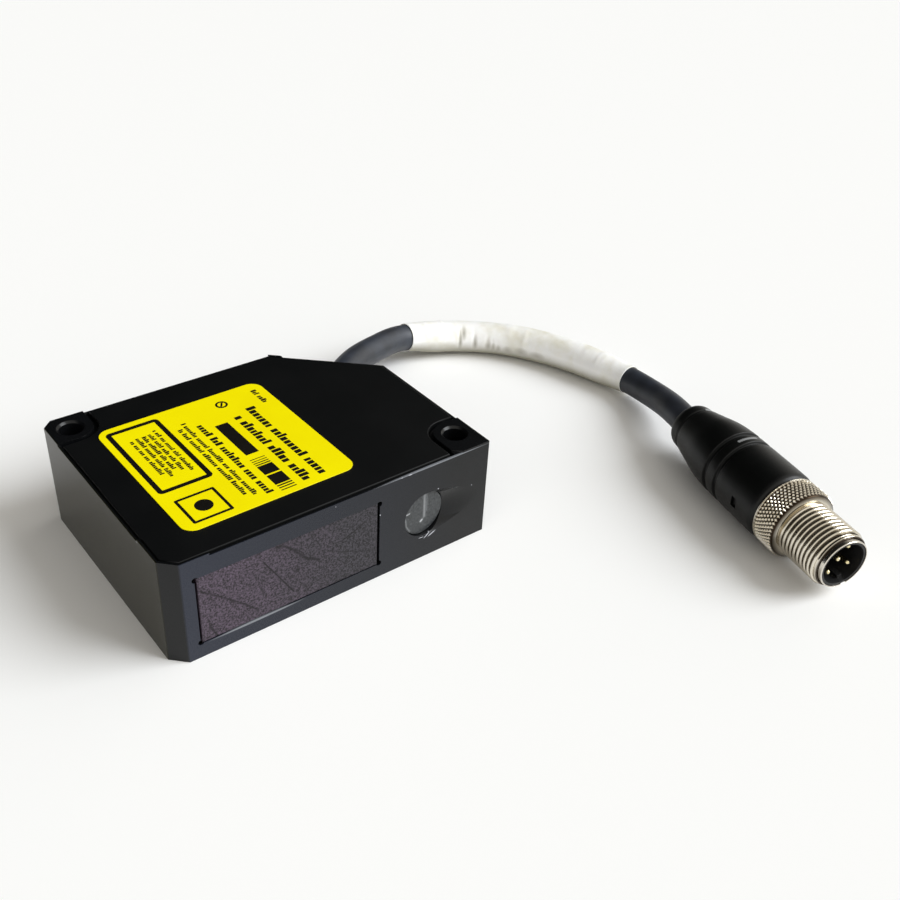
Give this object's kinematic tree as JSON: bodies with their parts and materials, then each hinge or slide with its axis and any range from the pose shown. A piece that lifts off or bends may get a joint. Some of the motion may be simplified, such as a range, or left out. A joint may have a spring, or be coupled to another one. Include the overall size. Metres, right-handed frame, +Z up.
{
  "type": "optical distance sensor",
  "caption": "Flat box-shaped optical distance sensor with two windows in its front face, corner holes and a short cable ending in a round screw plug.",
  "frame": {"origin": "middle of the housing's footprint, on the surface it lies on", "axes": "+X along the front face with the windows, from the receiver window to the emitter; +Y from the front face to the back; +Z up, from the base to the cover"},
  "size_m": [0.1298, 0.1203, 0.0209],
  "materials": {
    "black_housing": "satin black coating",
    "black_cover": "smooth black coating",
    "gasket_rubber": "matt",
    "yellow_label": "printed film, satin",
    "receiver_glass": "dark tinted filter, scratched",
    "emitter_glass": "clear, grey",
    "cast_metal": "as cast",
    "steel": "bright",
    "lens_glass": "polished",
    "board_green": "solder resist",
    "chip_black": "moulded",
    "tube_brass": "turned",
    "black_ring": "anodised",
    "capacitor_tan": "matt",
    "header_white": "moulded",
    "wire_red": "insulation",
    "gland_nickel": "nickel plated",
    "boot_rubber": "matt",
    "cable_jacket": "satin dark grey",
    "sleeve_white": "satin white film, creased",
    "grip_black": "moulded, satin",
    "plug_nickel": "nickel plated",
    "insert_black": "moulded",
    "pin_gold": "plated"
  },
  "bodies": {
    "sensor": {"housing": "black_housing", "cover": "black_cover", "cover_gasket": "gasket_rubber", "label": "yellow_label", "receiver_window": "receiver_glass", "emitter_window": "emitter_glass", "optical_bench": "cast_metal", "bench_screws": "steel", "receiver_lens": "lens_glass", "lens_clip": "steel", "detector_board": "board_green", "detector_chip": "chip_black", "link_header": "chip_black", "laser_tube": "tube_brass", "collimator_lens": "lens_glass", "collimator_ring": "black_ring", "laser_diode": "tube_brass", "laser_board": "board_green", "laser_leads": "steel", "main_board": "board_green", "processor_chips": "chip_black", "capacitors": "capacitor_tan", "wire_header": "header_white", "board_screws": "steel", "inner_wires": "wire_red", "cable_gland": "gland_nickel", "gland_nut": "gland_nickel", "strain_relief": "boot_rubber", "cable": "cable_jacket", "marker_sleeve": "sleeve_white", "plug_grip": "grip_black", "plug_shell": "plug_nickel", "contact_insert": "insert_black", "contact_pins": "pin_gold"},
    "screw_ring": {"coupling_ring": "plug_nickel"}
  },
  "joints": [
    {"name": "ring_turn", "type": "hinge", "parent": "sensor", "child": "screw_ring", "pos_m": [0.07663, -0.06641, 0.0076], "axis": [-0.2487, -0.9686, 0], "continuous": true}
  ]
}
